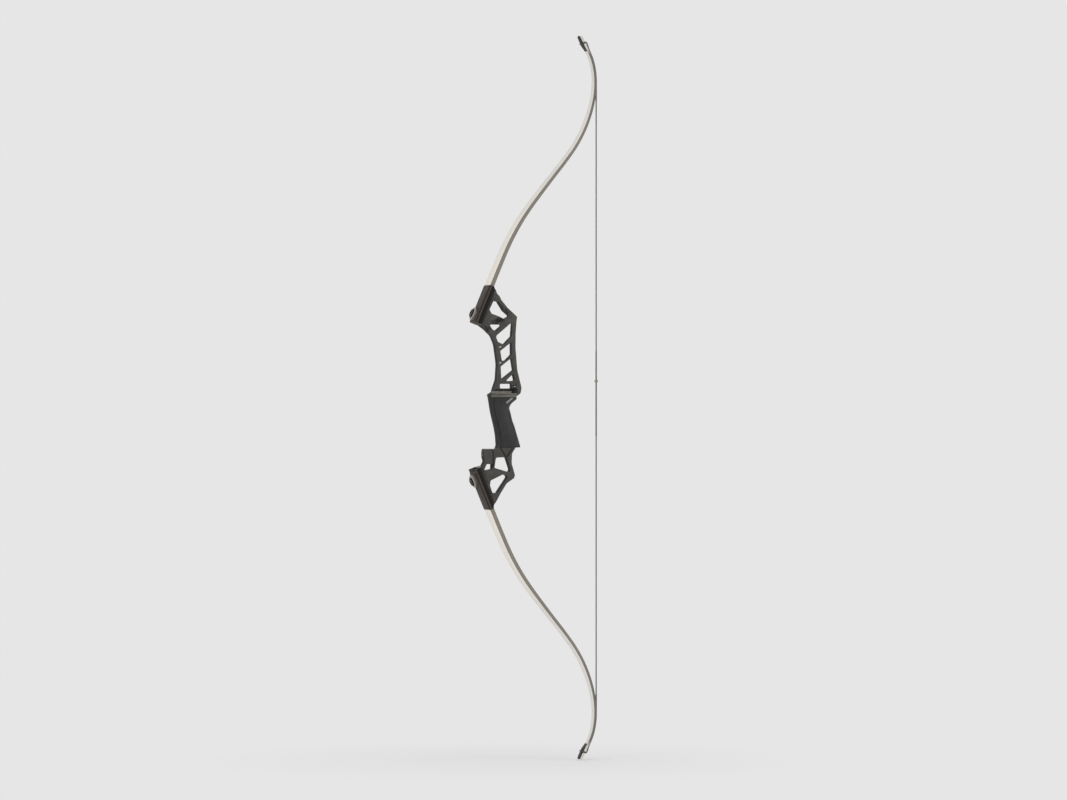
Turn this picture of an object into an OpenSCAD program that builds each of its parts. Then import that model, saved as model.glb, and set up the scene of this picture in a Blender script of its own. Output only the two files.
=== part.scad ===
// Takedown recurve bow: a metal riser with open lattice cut-outs, two laminated limbs and a string.
// Millimetres, +Z up, +X towards the archer, the bow's plane is Y = 0.
// The origin is the throat of the grip, where the web of the thumb sits.

/* [Limbs] */
// Height of the plane that the two limbs mirror about
mid_z = 20; // [16:0.5:24]
// Lean of a limb pocket from the vertical, in degrees
pocket_lean = 22.5; // [21:0.5:24]
// Distance from the mirror plane to the mouth of a limb pocket
mouth_height = 235.5; // [230:0.5:240]
// Distance in front of the throat of the limb's front face at the pocket mouth
mouth_reach = 46.5; // [44:0.5:49]
// Thickness of the working limb at the pocket mouth
limb_thick_root = 9; // [7.5:0.1:10]
// Thickness of the working limb at its tip
limb_thick_tip = 5; // [4:0.1:6]
// Width of the limb at its butt
limb_width_root = 44; // [40:0.5:46]
// Width of the limb at the end of its recurve
limb_width_tip = 19; // [17:0.5:22]
// Thickness of each face of glass on the limb
glass_thick = 1; // [0.6:0.1:1.4]
// Extra thickness of the butt block behind the limb
butt_swell = 3; // [2:0.1:4]
// Length of the butt that lies in the pocket
butt_length = 84; // [80:0.5:88]
// Thickness of the dark cover on the front of the butt
cover_thick = 1.2; // [0.8:0.1:2]

/* [Limb fittings] */
// Diameter of the limb bolt's shank
bolt_dia = 8; // [6:0.5:10]
// Distance from the pocket mouth to the limb bolt
bolt_setback = 67; // [62:0.5:70]
// Diameter of the limb bolt's head
bolt_head_dia = 18; // [16:0.5:22]
// Height of the limb bolt's head
bolt_head_height = 3.5; // [3:0.5:6]
// Size across the flats of the key socket in the head
socket_flats = 6; // [5:0.5:8]
// Outer diameter of the limb washer
washer_dia = 28; // [26:0.5:32]
// Thickness of the limb washer
washer_thick = 7; // [4:0.5:8]
// Length of the threaded insert behind the pocket
insert_length = 15; // [10:0.5:17]
// Outer diameter of the threaded insert
insert_dia = 13; // [12:0.5:15]
// Diameter of the locating pin
pin_dia = 5; // [4:0.5:6]
// Distance from the pocket mouth to the locating pin
pin_setback = 18; // [14:0.5:24]

/* [Riser] */
// Thickness of the upper part of the riser
upper_web = 24; // [20:0.5:28]
// Thickness of the lower part of the riser and of the bar inside the grip
lower_web = 20; // [16:0.5:22]
// How far past the centre plane the sight window is cut
window_offset = 4; // [2:0.5:6]
// Thickness of the riser beside the sight window
window_web = 16; // [13:0.5:20]
// Height of the arrow shelf above the throat
shelf_z = 29; // [28:0.5:32]
// Distance that the arrow shelf stands out from the centre plane
shelf_reach = 15; // [13:0.5:17]
// Thickness of the pocket's side walls
cheek_wall = 2.6; // [2:0.1:4]
// Thickness of the pocket's floor
pocket_floor = 6; // [5:0.5:8]
// How far the lower pocket runs on past the butt
lower_heel = 7; // [4:0.5:9]

/* [Accessory fittings] */
// Distance between the two sight holes
sight_spacing = 33.34; // [30:0.01:36]
// Diameter of each sight hole's thread
sight_thread_dia = 4.8; // [4:0.1:5.5]
// Outer diameter of a sight bushing
sight_bush_dia = 6.4; // [6:0.1:7]
// Diameter of the thread for a stabiliser and for a plunger
accessory_thread_dia = 7.94; // [6:0.01:8.4]
// Outer diameter of the stabiliser bushing
stabiliser_bush_dia = 14; // [12:0.5:15]
// Length of the stabiliser bushing
stabiliser_bush_length = 20; // [14:0.5:24]
// Outer diameter of the plunger bushing
plunger_bush_dia = 11; // [10:0.1:12]
// Thickness of the pad on the arrow shelf
shelf_pad_thick = 4; // [2:0.5:5]
// Thickness of the arrow rest's base
rest_base_thick = 1.6; // [1:0.1:3]
// Length of the arrow rest's arm
rest_arm_length = 11; // [8:0.5:14]

/* [Grip] */
// Full thickness of the grip at its palm swell
grip_thick = 31; // [28:0.5:34]
// Thickness of the grip behind the riser's bar
grip_back_wall = 5; // [4:0.5:6]
// Diameter of a grip screw's head
grip_screw_dia = 6; // [5:0.5:7]

/* [String] */
// Diameter of the bowstring
string_dia = 2.8; // [2:0.1:3.2]
// Diameter of the string where it is served
serving_dia = 3.4; // [3.3:0.1:4]
// Height of the nocking point above the throat
nock_z = 48; // [46:0.5:52]
// Length of the centre serving above the nocking point
serving_above = 70; // [50:1:90]
// Length of the centre serving below the nocking point
serving_below = 110; // [80:1:130]
// Outer diameter of the brass nock locator
locator_dia = 7; // [6:0.1:8]

/* [Hidden] */

metal_black = [0.24, 0.23, 0.22];
moulded_black = [0.13, 0.13, 0.14];
glass_cream = [0.88, 0.85, 0.79];
core_brown = [0.52, 0.48, 0.43];
overlay_dark = [0.2, 0.18, 0.16];
silver = [0.78, 0.78, 0.8];
brass = [0.76, 0.62, 0.3];
string_grey = [0.4, 0.4, 0.4];
round_fn = 48;
corner_steps = 5;
seat_gap = 0.3;
run_gap = 0.05;
hole_gap = 0.4;
far = 400;

// Outline tools
function flat(p) = [p[0], p[1]];
function unit(v) = v / norm(v);
function arc_points(centre, r, a0, turn) =
    [for (k = [0 : corner_steps])
        let (a = a0 + turn * k / corner_steps)
        centre + r * [cos(a), sin(a)]];
function corner(a, b, c, r) =
    let (u = unit(a - b))
    let (w = unit(c - b))
    let (half = acos(max(-1, min(1, u * w))) / 2)
    let (reach = min(r / tan(half), 0.48 * norm(a - b), 0.48 * norm(c - b)))
    let (centre = b + unit(u + w) * reach / cos(half))
    let (from = b + u * reach - centre)
    let (to = b + w * reach - centre)
    let (a0 = atan2(from[1], from[0]))
    let (turn = (atan2(to[1], to[0]) - a0 + 540) % 360 - 180)
    arc_points(centre, norm(from), a0, turn);
// A closed outline whose points are [x, z, corner radius]
function rounded(pts) =
    [for (i = [0 : len(pts) - 1])
        let (n = len(pts))
        each (pts[i][2] == 0 ? [flat(pts[i])]
            : corner(flat(pts[(i + n - 1) % n]), flat(pts[i]), flat(pts[(i + 1) % n]), pts[i][2]))];

// A plate cut to an outline in the bow's plane, between two Y values
module side_plate(pts, y0, y1)
    translate([0, y1, 0]) rotate([90, 0, 0]) linear_extrude(y1 - y0) polygon(pts);
// A bar cut to an outline seen from the front, between two X values
module front_bar(pts, x0, x1)
    translate([x0, 0, 0]) rotate([90, 0, 90]) linear_extrude(x1 - x0) polygon(pts);
// A cylinder along X or along Y
module rod_x(x0, x1, r) translate([x0, 0, 0]) rotate([0, 90, 0]) cylinder(h = x1 - x0, r = r, $fn = round_fn);
module rod_y(y0, y1, r) translate([0, y1, 0]) rotate([90, 0, 0]) cylinder(h = y1 - y0, r = r, $fn = round_fn);

// The two halves: a piece is written for the upper one, with heights counted from the mirror plane
module upper() translate([0, 0, mid_z]) children();
module lower() translate([0, 0, mid_z]) mirror([0, 0, 1]) children();
// Pocket frame: X is depth behind the limb's front face, Z runs along the pocket to its mouth
module in_pocket() translate([-mouth_reach, 0, mouth_height]) rotate([0, pocket_lean, 0]) children();
function pocket(s, depth) = [-mouth_reach + s * sin(pocket_lean) + depth * cos(pocket_lean),
    mouth_height + s * cos(pocket_lean) - depth * sin(pocket_lean)];
function upper_xz(s, depth, r) = [pocket(s, depth)[0], mid_z + pocket(s, depth)[1], r];
function lower_xz(s, depth, r) = [pocket(s, depth)[0], mid_z - pocket(s, depth)[1], r];
butt_thick = limb_thick_root + butt_swell;
pocket_depth = butt_thick + pocket_floor;
head_chamfer = 1;
socket_floor = 0.5;
// Run over which the butt swells to its full thickness behind the mouth
swell_run = 10;

// Limb side view: heading from the vertical, in degrees, at distances along the limb from the pocket mouth
contact_s = 495;
throat_s = 556;
nock_s = 580;
tip_s = 598;
bends = [[0, pocket_lean], [75, pocket_lean + 1.5], [195, 37.5], [290, 39.5], [335, 36.5], [385, 26.5],
    [455, 12], [contact_s, 0], [525, -11], [560, -28], [tip_s, -24]];
station_count = 66;
// Half widths at distances along the limb
half_widths = [[0, limb_width_root / 2], [60, limb_width_root / 2 - 0.5], [170, limb_width_root / 2 - 2],
    [340, (limb_width_root + limb_width_tip) / 4 + 1], [500, limb_width_tip / 2 + 0.5],
    [555, limb_width_tip / 2], [nock_s - 6, limb_width_tip / 2 - 1], [tip_s, limb_width_tip / 2 - 2.5]];
stations = [for (k = [0 : station_count]) k * tip_s / station_count];
step = stations[1];
// The front face of the limb in side view, as [distance, x, height]
limb_line = [for (k = 0, x = -mouth_reach, z = mouth_height; k < len(stations);
    x = x + step * sin(lookup((k + 0.5) * step, bends)),
    z = z + step * cos(lookup((k + 0.5) * step, bends)),
    k = k + 1) [k * step, x, z]];
line_x = [for (p = limb_line) [p[0], p[1]]];
line_z = [for (p = limb_line) [p[0], p[2]]];
function limb_thick(s) = limb_thick_root + (limb_thick_tip - limb_thick_root) * min(1, s / contact_s);
// A point of the limb in side view, at a distance along it and a depth behind its front face
function limb_xz(s, depth) = [lookup(s, line_x) + depth * cos(lookup(s, bends)),
    lookup(s, line_z) - depth * sin(lookup(s, bends))];
// A layer of the limb between two depths, each a function of the distance along the limb
function layer(along, front, back) = concat([for (s = along) limb_xz(s, front(s))],
    [for (k = [len(along) - 1 : -1 : 0]) limb_xz(along[k], back(along[k]))]);
function half_width(s) = lookup(s, half_widths);
string_x = limb_xz(contact_s, limb_thick(contact_s))[0] + seat_gap + serving_dia / 2;

// Riser side view, as [x, z, corner radius], from the upper pocket down the back and up the front
web_front = butt_thick + 1;
web_back = pocket_depth + 3;
upper_back = [upper_xz(-5, web_front, 0), upper_xz(-2.5, web_front + 1.5, 1), upper_xz(-3.2, web_front + 4.5, 2),
    [-28.6, 237.5, 8], [-23.3, 232.3, 6], [-19.5, 224.5, 12], [-5.9, 208.3, 10], [7.5, 200.5, 12],
    [19.6, 189.5, 3.5], [18.2, 181, 12], [16.3, 156, 40], [15.9, 124, 60], [19.8, 77.3, 60], [29.2, 40, 8],
    [27, 28.6, 6], [18, 22.5, 3]];
// Grip outline: X of its front and of its back at heights above the throat
grip_front = [[-88, -28.3], [-79, -26.3], [-61, -27.6], [-44, -30.4], [-15, -37.5], [1.5, -40.7], [20, -41.8],
    [31, -42.5]];
grip_back = [[-85, 25], [-79, 23.3], [-61, 17.7], [-40, 11.3], [-28, 6.8], [-14, 3.5], [-7, 1.4], [-3, 0.6],
    [0, 0.8], [5.5, 3.8], [10.3, 8.6], [13.5, 13.2], [16.2, 15.8], [20, 17.3], [31, 18.5]];
core_back = [for (z = [20, 13, 7, 0, -8, -24, -44, -64, -78]) [lookup(z, grip_back) - grip_back_wall, z, 3]];
lower_back = [[10.5, -87.8, 4], [4.5, -97.5, 10], [3.5, -118, 20], [10.8, -143, 4], [9, -149, 3],
    [-7.5, -160.4, 10], [-21, -182, 20], [-31.9, -201.5, 6], lower_xz(-5.2, web_front, 0)];
lower_front = [lower_xz(-butt_length - lower_heel, web_front, 0), [-60.5, -125, 3], [-54.5, -114, 8],
    [-57.4, -104, 2], [-57, -89.5, 3], [-37, -90.5, 6]];
front_edge = [for (z = [-86, -79, -61, -44, -15, 1.5, 20]) [lookup(z, grip_front), z, 4]];
upper_front = [[-42.5, shelf_z - 5, 1], [-42.5, shelf_z - 2.7, 1], [-34, shelf_z + 2.5, 2], [-31.6, 40, 10],
    [-25.6, 57, 20], [-23.4, 90, 60], [-29, 131, 40], [-37, 150, 20], [-52, 163, 20],
    upper_xz(-butt_length, web_front, 0)];
riser_outline = rounded(concat(upper_back, core_back, lower_back, lower_front, front_edge, upper_front));
// Cut-outs of the lattice, from the top down
cut_outs = [
    [[-36.5, 222.3, 3], [-25, 221.3, 3], [-12.2, 201.5, 12], [0.5, 190.8, 2], [-9.5, 185.3, 5],
        [-40.5, 195.6, 4], [-45.3, 204, 5]],
    [[-46.5, 173.2, 2], [-13.1, 172.8, 2], [-28.5, 158.8, 2.5]],
    [[8, 178, 2], [7.9, 148.4, 3], [-9.4, 130.8, 4], [-22.4, 136.8, 4], [-26, 145.5, 3], [-25.4, 150, 3]],
    [[7.2, 136.5, 2], [7.4, 110, 3], [-5, 97.6, 3], [-13.9, 97.2, 2], [-17.2, 117.6, 3]],
    [[7.6, 103.5, 2], [12, 77.3, 3], [-15, 56.8, 2], [-16.4, 84.8, 2]],
    [[11.2, 70.2, 2], [14.9, 55.4, 2], [-6, 54, 1.5]],
    [[-18, 48.5, 1.5], [7.3, 48.5, 1.5], [7.3, 39, 1.5], [-18, 39, 1.5]],
    [[-30.5, -106, 4], [-7.3, -105.5, 3], [1.2, -131, 4], [-1.5, -137, 3], [-34, -127.6, 3]],
    [[-50.5, -119.7, 2], [-37.8, -119.7, 1.5], [-38.2, -129.8, 1.5], [-56.8, -133.3, 1.5]],
    [[-42, -154, 3], [-14, -140.8, 6], [-3.5, -145, 4], [-27.5, -180.3, 3], [-38.2, -180.3, 4],
        [-43.8, -163.8, 6]]];
// Riser front view, as [y, z], with the shelf's plate and a shallow groove along its edge
window_far = window_offset + window_web;
shelf_plate = 8.5;
groove_y = 1.2 - shelf_reach;
riser_profile = [[upper_web / 2, far], [upper_web / 2, 180], [window_far, 154], [window_far, shelf_z],
    [lower_web / 2, 4], [lower_web / 2, -far], [-lower_web / 2, -far], [-lower_web / 2, shelf_z - shelf_plate],
    [-shelf_reach, shelf_z - shelf_plate], [-shelf_reach, shelf_z - 4], [groove_y, shelf_z - 3.5],
    [groove_y, shelf_z - 2.5], [-shelf_reach, shelf_z - 2], [-shelf_reach, shelf_z + 2],
    [-upper_web / 2, shelf_z + 2], [-upper_web / 2, far]];
// The window's upper end is a step that climbs across the riser, as a slope with a lip above it
step_x = -24.2;
step_z = 181.7;
step_rise = 41.5;
step_half = 5.4;
step_lip = 13.2;
lip_drop = 2.5;
step_profile = [[step_half, window_offset], [-step_half, lip_drop - upper_web / 2],
    [-step_half - step_lip, -lip_drop - upper_web / 2], [-step_half - step_lip, -2 * upper_web],
    [far, -2 * upper_web], [far, window_offset]];
// Behind the shelf only the column's ear stands, above this height
shelf_back = 13;
ear_low = 12;
cheek_in = limb_width_root / 2 + hole_gap;
cheek_out = cheek_in + cheek_wall;
cheek_front = 0.6;
flare_start = butt_thick + 2;
// The pocket's sides slope in and end just under the faces of the web
flare_end = lower_web / 2 - 1;
pocket_section = [[cheek_front, cheek_out], [flare_start, cheek_out], [web_back, flare_end],
    [web_back, -flare_end], [flare_start, -cheek_out], [cheek_front, -cheek_out],
    [cheek_front, -cheek_in], [butt_thick, -cheek_in], [butt_thick, cheek_in], [cheek_front, cheek_in]];
boss_x = -57.5;
boss_z = -97;
sight_x = -17.5;
sight_mid_z = 110.2;
plunger_x = 14.5;
plunger_z = 44.5;
screw_places = [[-20, -8], [-4, -62]];

module window_cut()
    intersection() {
        translate([step_x, 0, step_z]) rotate([0, 90 - step_rise, 0]) linear_extrude(2 * far, center = true)
            polygon(step_profile);
        translate([-far, -far, shelf_z]) cube(2 * far);
    }
module riser_body()
    difference() {
        intersection() {
            side_plate(riser_outline, -shelf_reach - 1, window_far + 1);
            front_bar(riser_profile, -far, far);
        }
        window_cut();
        translate([shelf_back, -2 * upper_web, ear_low])
            cube([far, 2 * upper_web + window_offset, shelf_z + 1 - ear_low]);
    }
// The pocket's mouth is cut back on a slant behind the limb
mouth_depth = 8;
mouth_slant = 42;
module pocket_block(heel, drop)
    in_pocket() difference() {
        translate([0, 0, -butt_length - heel]) linear_extrude(butt_length + heel) polygon(pocket_section);
        translate([mouth_depth, 0, -drop]) rotate([0, mouth_slant, 0]) translate([-10, -60, 0])
            cube([80, 120, 40]);
    }
module pocket_bores()
    in_pocket() {
        translate([0, 0, -bolt_setback]) rod_x(butt_thick - 1, butt_thick + insert_length, insert_dia / 2);
        translate([0, 0, -bolt_setback]) rod_x(butt_thick, butt_thick + insert_length + 2, bolt_dia / 2 + 0.5);
        translate([0, 0, -pin_setback]) rod_x(butt_thick - 1, pocket_depth + 3, pin_dia / 2);
    }
module riser()
    color(metal_black) difference() {
        union() {
            riser_body();
            upper() pocket_block(0, 0);
            lower() pocket_block(lower_heel, 4);
            translate([0, 0, boss_z]) rod_x(boss_x, -36, stabiliser_bush_dia / 2 + 2.5);
        }
        for (hole = cut_outs) side_plate(rounded(hole), -60, 60);
        upper() pocket_bores();
        lower() pocket_bores();
        translate([0, 0, boss_z]) rod_x(boss_x - 2, boss_x + stabiliser_bush_length, stabiliser_bush_dia / 2);
        for (side = [-1, 1]) translate([sight_x, 0, sight_mid_z + side * sight_spacing / 2])
            rod_y(window_offset - 1, window_far + 1, sight_bush_dia / 2);
        translate([plunger_x, 0, plunger_z]) rod_y(window_offset - 1, window_far + 1, plunger_bush_dia / 2);
        for (p = screw_places) translate([p[0], 0, p[1]]) rod_y(-2, grip_thick, screw_shank);
    }

// Grip: rounded sections stacked up the handle, open at the front for the riser's bar
grip_top = shelf_z - shelf_plate;
grip_levels = [-85, -82, -77, -70, -61, -51, -40, -28, -20, -14, -7, 0, 3, 5.5, 8, 10.3, 13, 16.2, 18, grip_top];
grip_half = [[-85, 12.8], [-61, 15.2], [-40, 15.5], [-14, 14], [0, 13.2], [16, 13.8], [31, 15]];
grip_scale = grip_thick / 31;
bar_show = 6;
arc_steps = 8;
back_power = 2.9;
screw_shank = 1.7;
screw_seat = lower_web / 2 + 1.6;
screw_gap = 0.2;
function grip_section(z) =
    let (front = lookup(z, grip_front) + bar_show)
    let (depth = lookup(z, grip_back) - front)
    let (half = lookup(z, grip_half) * grip_scale)
    [for (k = [-arc_steps : arc_steps])
        let (a = 90 * (1 - abs(k) / arc_steps))
        [front + depth * pow(sin(a), 2 / back_power), sign(k) * half * pow(cos(a), 2 / back_power), z]];
module loft(rings) {
    n = len(rings[0]);
    m = len(rings);
    sides = [for (j = [0 : m - 2]) for (i = [0 : n - 1])
        let (a = j * n + i)
        let (b = j * n + (i + 1) % n)
        each [[a, a + n, b + n], [a, b + n, b]]];
    polyhedron([for (ring = rings) each ring],
        concat([[for (i = [0 : n - 1]) i]], sides, [[for (i = [n - 1 : -1 : 0]) (m - 1) * n + i]]));
}
module grip()
    color(moulded_black) difference() {
        loft([for (z = grip_levels) grip_section(z)]);
        riser_body();
        for (p = screw_places) translate([p[0], 0, p[1]]) {
            rod_y(-2, grip_thick, screw_shank + screw_gap);
            rod_y(screw_seat, grip_thick, grip_screw_dia / 2 + screw_gap);
        }
    }
module grip_screws()
    color(silver) for (p = screw_places) translate([p[0], 0, p[1]]) difference() {
        union() {
            rod_y(-2, screw_seat + 1, screw_shank);
            rod_y(screw_seat, screw_seat + 2, grip_screw_dia / 2);
        }
        rod_y(screw_seat + 0.8, screw_seat + 3, grip_screw_dia / 4);
    }

pad_front = -37;
pad_back = 3;
module shelf_pad()
    color(overlay_dark) translate([0, 0, shelf_z]) linear_extrude(shelf_pad_thick)
        polygon(rounded([[pad_front, -shelf_reach + 0.5, 3], [pad_back, -shelf_reach + 0.5, 3],
            [pad_back, window_offset - 0.3, 1], [pad_front, window_offset - 0.3, 1]]));
rest_front = 6;
rest_back = 20;
rest_low = shelf_z + seat_gap;
rest_high = rest_low + 11;
arm_low = rest_low + 5;
module arrow_rest()
    color(moulded_black) union() {
        difference() {
            side_plate(rounded([[rest_front, rest_low, 1.5], [rest_back, rest_low, 1.5],
                [rest_back, rest_high, 3], [rest_front, rest_high, 3]]),
                window_offset - rest_base_thick, window_offset);
            translate([plunger_x, 0, plunger_z]) rod_y(-far, far, plunger_bush_dia / 2 + 0.8);
        }
        front_bar([[window_offset - 1, arm_low + 0.5], [window_offset - 1, arm_low + 3.2],
            [window_offset - rest_arm_length * 0.8, arm_low + 3.6],
            [window_offset - rest_arm_length, arm_low + 6],
            [window_offset - rest_arm_length - 1.4, arm_low + 5.4],
            [window_offset - rest_arm_length * 0.9, arm_low + 1.2]], rest_front + 1, rest_front + 9);
    }
module plunger_bushing()
    color(metal_black) translate([plunger_x, 0, plunger_z]) difference() {
        rod_y(window_offset, window_far, plunger_bush_dia / 2);
        rod_y(window_offset - 1, window_far + 1, accessory_thread_dia / 2);
    }
module sight_bushings()
    color(silver) for (side = [-1, 1]) translate([sight_x, 0, sight_mid_z + side * sight_spacing / 2])
        difference() {
            rod_y(window_offset, window_far, sight_bush_dia / 2);
            rod_y(window_offset - 1, window_far + 1, sight_thread_dia / 2);
        }
module stabiliser_bushing()
    color(silver) translate([0, 0, boss_z]) difference() {
        rod_x(boss_x - 0.8, boss_x + stabiliser_bush_length, stabiliser_bush_dia / 2);
        rod_x(boss_x - 2, boss_x + stabiliser_bush_length + 1, accessory_thread_dia / 2);
    }

module limb_insert()
    color(silver) in_pocket() translate([0, 0, -bolt_setback]) difference() {
        rod_x(butt_thick, butt_thick + insert_length, insert_dia / 2);
        rod_x(butt_thick - 1, butt_thick + insert_length + 1, bolt_dia / 2 + run_gap);
    }
module locating_pin()
    color(silver) in_pocket() translate([0, 0, -pin_setback])
        rod_x(butt_thick / 2, pocket_depth + 3, pin_dia / 2);
module limb_butt()
    color(core_brown) in_pocket() difference() {
        side_plate([[0, 0], [limb_thick_root, 0], [butt_thick, -swell_run], [butt_thick, -butt_length],
            [0, -butt_length]], -limb_width_root / 2, limb_width_root / 2);
        translate([0, 0, -bolt_setback]) rod_x(-1, butt_thick + 1, bolt_dia / 2 + hole_gap);
        translate([0, 0, -pin_setback]) rod_x(butt_thick / 2 - 0.5, butt_thick + 1, pin_dia / 2);
    }
module butt_cover()
    color(overlay_dark) in_pocket() difference() {
        translate([-cover_thick, 0, 0]) rotate([90, 0, 90]) linear_extrude(cover_thick)
            polygon(rounded([[-limb_width_root / 2, -butt_length, 4], [limb_width_root / 2, -butt_length, 4],
                [limb_width_root / 2, -1, 1], [-limb_width_root / 2, -1, 1]]));
        translate([0, 0, -bolt_setback]) rod_x(-cover_thick - 1, 1, bolt_dia / 2 + hole_gap);
    }
module limb_washer()
    color(silver) in_pocket() translate([0, 0, -bolt_setback]) difference() {
        rod_x(-cover_thick - washer_thick, -cover_thick, washer_dia / 2);
        rod_x(-cover_thick - washer_thick - 1, 0, bolt_dia / 2 + run_gap);
    }
module limb_bolt()
    color(moulded_black) in_pocket() translate([-cover_thick - washer_thick, 0, -bolt_setback]) difference() {
        union() {
            rod_x(head_chamfer - bolt_head_height, 0, bolt_head_dia / 2);
            translate([head_chamfer - bolt_head_height, 0, 0]) rotate([0, -90, 0])
                cylinder(h = head_chamfer, r1 = bolt_head_dia / 2, r2 = bolt_head_dia / 2 - head_chamfer,
                    $fn = round_fn);
            rod_x(-1, cover_thick + washer_thick + butt_thick + insert_length - 1, bolt_dia / 2);
        }
        translate([-bolt_head_height - 1, 0, 0]) rotate([0, 90, 0])
            cylinder(h = bolt_head_height + 1 - socket_floor, r = socket_flats / sqrt(3), $fn = 6);
    }

// Limb laminations
plan_edge = [for (s = stations) [half_width(s), limb_xz(s, 0)[1]]];
limb_plan = concat(plan_edge,
    [for (k = [len(plan_edge) - 1 : -1 : 0]) [-plan_edge[k][0], plan_edge[k][1]]]);
loop_r = 1.4;
overlay_thick = 2.6;
overlay_from = 562.5;
overlay_along = [for (s = stations) if (s > overlay_from - 2) s];
nock_side = half_width(nock_s) + 0.7;
module limb_at(s)
    translate([limb_xz(s, 0)[0], 0, limb_xz(s, 0)[1]]) rotate([0, lookup(s, bends), 0]) children();
module nock_notches()
    limb_at(nock_s) {
        for (side = [-1, 1]) translate([0, side * nock_side, 0]) rod_x(-12, 12, loop_r + 0.8);
        translate([-overlay_thick - 0.9, 0, 0]) rod_y(-20, 20, loop_r + 0.4);
    }
module lamination(along, front, back)
    difference() {
        intersection() {
            side_plate(layer(along, front, back), -limb_width_root, limb_width_root);
            front_bar(limb_plan, -far, far);
        }
        nock_notches();
    }
module limb_core()
    color(core_brown) lamination(stations, function (s) glass_thick, function (s) limb_thick(s) - glass_thick);
module front_glass()
    color(glass_cream) lamination(stations, function (s) 0, function (s) glass_thick);
module belly_glass()
    color(glass_cream)
        lamination(stations, function (s) limb_thick(s) - glass_thick, function (s) limb_thick(s));
module tip_overlay()
    color(overlay_dark) lamination(overlay_along,
        function (s) -overlay_thick * min(1, 0.15 + (s - overlay_from) / 14), function (s) 0);

// String: straight from the nocking point to where it meets the limb, then along the limb's belly
serve_below = 40;
contact_h = limb_xz(contact_s, 0)[1];
function on_belly(s, y) =
    let (p = limb_xz(s, limb_thick(s) + seat_gap + serving_dia / 2))
    [p[0], y, p[1]];
serve_path = concat([for (k = [0 : 2]) [string_x, 0, contact_h - serve_below * (1 - k / 3)]],
    [for (s = [contact_s : 6.1 : throat_s]) on_belly(s, 0)]);
function at_tip(s, depth, y) = [limb_xz(s, depth)[0], y, limb_xz(s, depth)[1]];
tip_back = limb_thick(nock_s);
// The loop lies behind the limb, rounds each side of the tip in a nock and crosses in the overlay's groove
loop_lie = tip_back + loop_r + 0.5;
loop_cross = -overlay_thick - 0.8;
loop_leg = [at_tip(throat_s, loop_lie, 1.5), at_tip(560, loop_lie, 2.2), at_tip(565, loop_lie, 4),
    at_tip(570, loop_lie, 6.2), at_tip(574, loop_lie, 7.9), at_tip(nock_s - 1.2, loop_lie - 0.3, 8.9),
    at_tip(nock_s, tip_back + 0.4, nock_side + 0.4), at_tip(nock_s, -1, nock_side + 0.3),
    at_tip(nock_s, -overlay_thick, nock_side - 0.1), at_tip(nock_s, loop_cross + 0.1, nock_side - 1.4),
    at_tip(nock_s, loop_cross, 4), at_tip(nock_s, loop_cross, 1.4)];
function across(p) = [p[0], -p[1], p[2]];
loop_path = concat(loop_leg, [for (k = [len(loop_leg) - 1 : -1 : 0]) across(loop_leg[k])]);
function tangents(path) = [for (i = [0 : len(path) - 1])
    unit(path[min(i + 1, len(path) - 1)] - path[max(i - 1, 0)])];
function carried(t, first) = [for (i = 0, n = unit(first - (first * t[0]) * t[0]); i < len(t);
    i = i + 1, n = i < len(t) ? unit(n - (n * t[i]) * t[i]) : n) n];
module tube(path, r, sides, first) {
    t = tangents(path);
    n = carried(t, first);
    loft([for (i = [0 : len(path) - 1]) [for (k = [sides - 1 : -1 : 0])
        path[i] + r * (cos(360 * k / sides) * n[i] + sin(360 * k / sides) * cross(t[i], n[i]))]]);
}
module half_string(from)
    color(string_grey) translate([string_x, 0, from])
        cylinder(h = contact_h - serve_below - from, r = string_dia / 2, $fn = round_fn);
module half_serving(from, to)
    color(moulded_black) translate([string_x, 0, from]) difference() {
        cylinder(h = to - from, r = serving_dia / 2, $fn = round_fn);
        translate([0, 0, -1]) cylinder(h = to - from + 2, r = string_dia / 2, $fn = round_fn);
    }
module end_serving() color(string_grey) tube(serve_path, serving_dia / 2, 12, [1, 0, 0]);
module string_loop() color(string_grey) tube(loop_path, loop_r, 8, [1, 0, 0]);
split_gap = 0.15;
nock_up = nock_z - mid_z;
upper_end = nock_up + split_gap;
lower_end = split_gap - nock_up;
module nock_locator()
    color(brass) translate([string_x, 0, nock_z + 4]) difference() {
        cylinder(h = 5, r = locator_dia / 2, $fn = round_fn);
        translate([0, 0, -1]) cylinder(h = 7, r = serving_dia / 2, $fn = round_fn);
    }

riser();
grip();
grip_screws();
shelf_pad();
arrow_rest();
plunger_bushing();
sight_bushings();
stabiliser_bushing();
upper() limb_insert();  // upper_limb_insert
lower() limb_insert();  // lower_limb_insert
upper() locating_pin();  // upper_locating_pin
lower() locating_pin();  // lower_locating_pin
upper() limb_butt();  // upper_limb_butt
lower() limb_butt();  // lower_limb_butt
upper() butt_cover();  // upper_butt_cover
lower() butt_cover();  // lower_butt_cover
upper() limb_core();  // upper_limb_core
lower() limb_core();  // lower_limb_core
upper() front_glass();  // upper_front_glass
lower() front_glass();  // lower_front_glass
upper() belly_glass();  // upper_belly_glass
lower() belly_glass();  // lower_belly_glass
upper() tip_overlay();  // upper_tip_overlay
lower() tip_overlay();  // lower_tip_overlay
upper() limb_washer();  // upper_limb_washer
lower() limb_washer();  // lower_limb_washer
upper() limb_bolt();  // upper_limb_bolt
lower() limb_bolt();  // lower_limb_bolt
upper() half_string(upper_end);  // upper_string
lower() half_string(lower_end);  // lower_string
upper() half_serving(upper_end, nock_up + serving_above);  // upper_centre_serving
lower() half_serving(lower_end, serving_below - nock_up);  // lower_centre_serving
upper() end_serving();  // upper_end_serving
lower() end_serving();  // lower_end_serving
upper() string_loop();  // upper_string_loop
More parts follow.
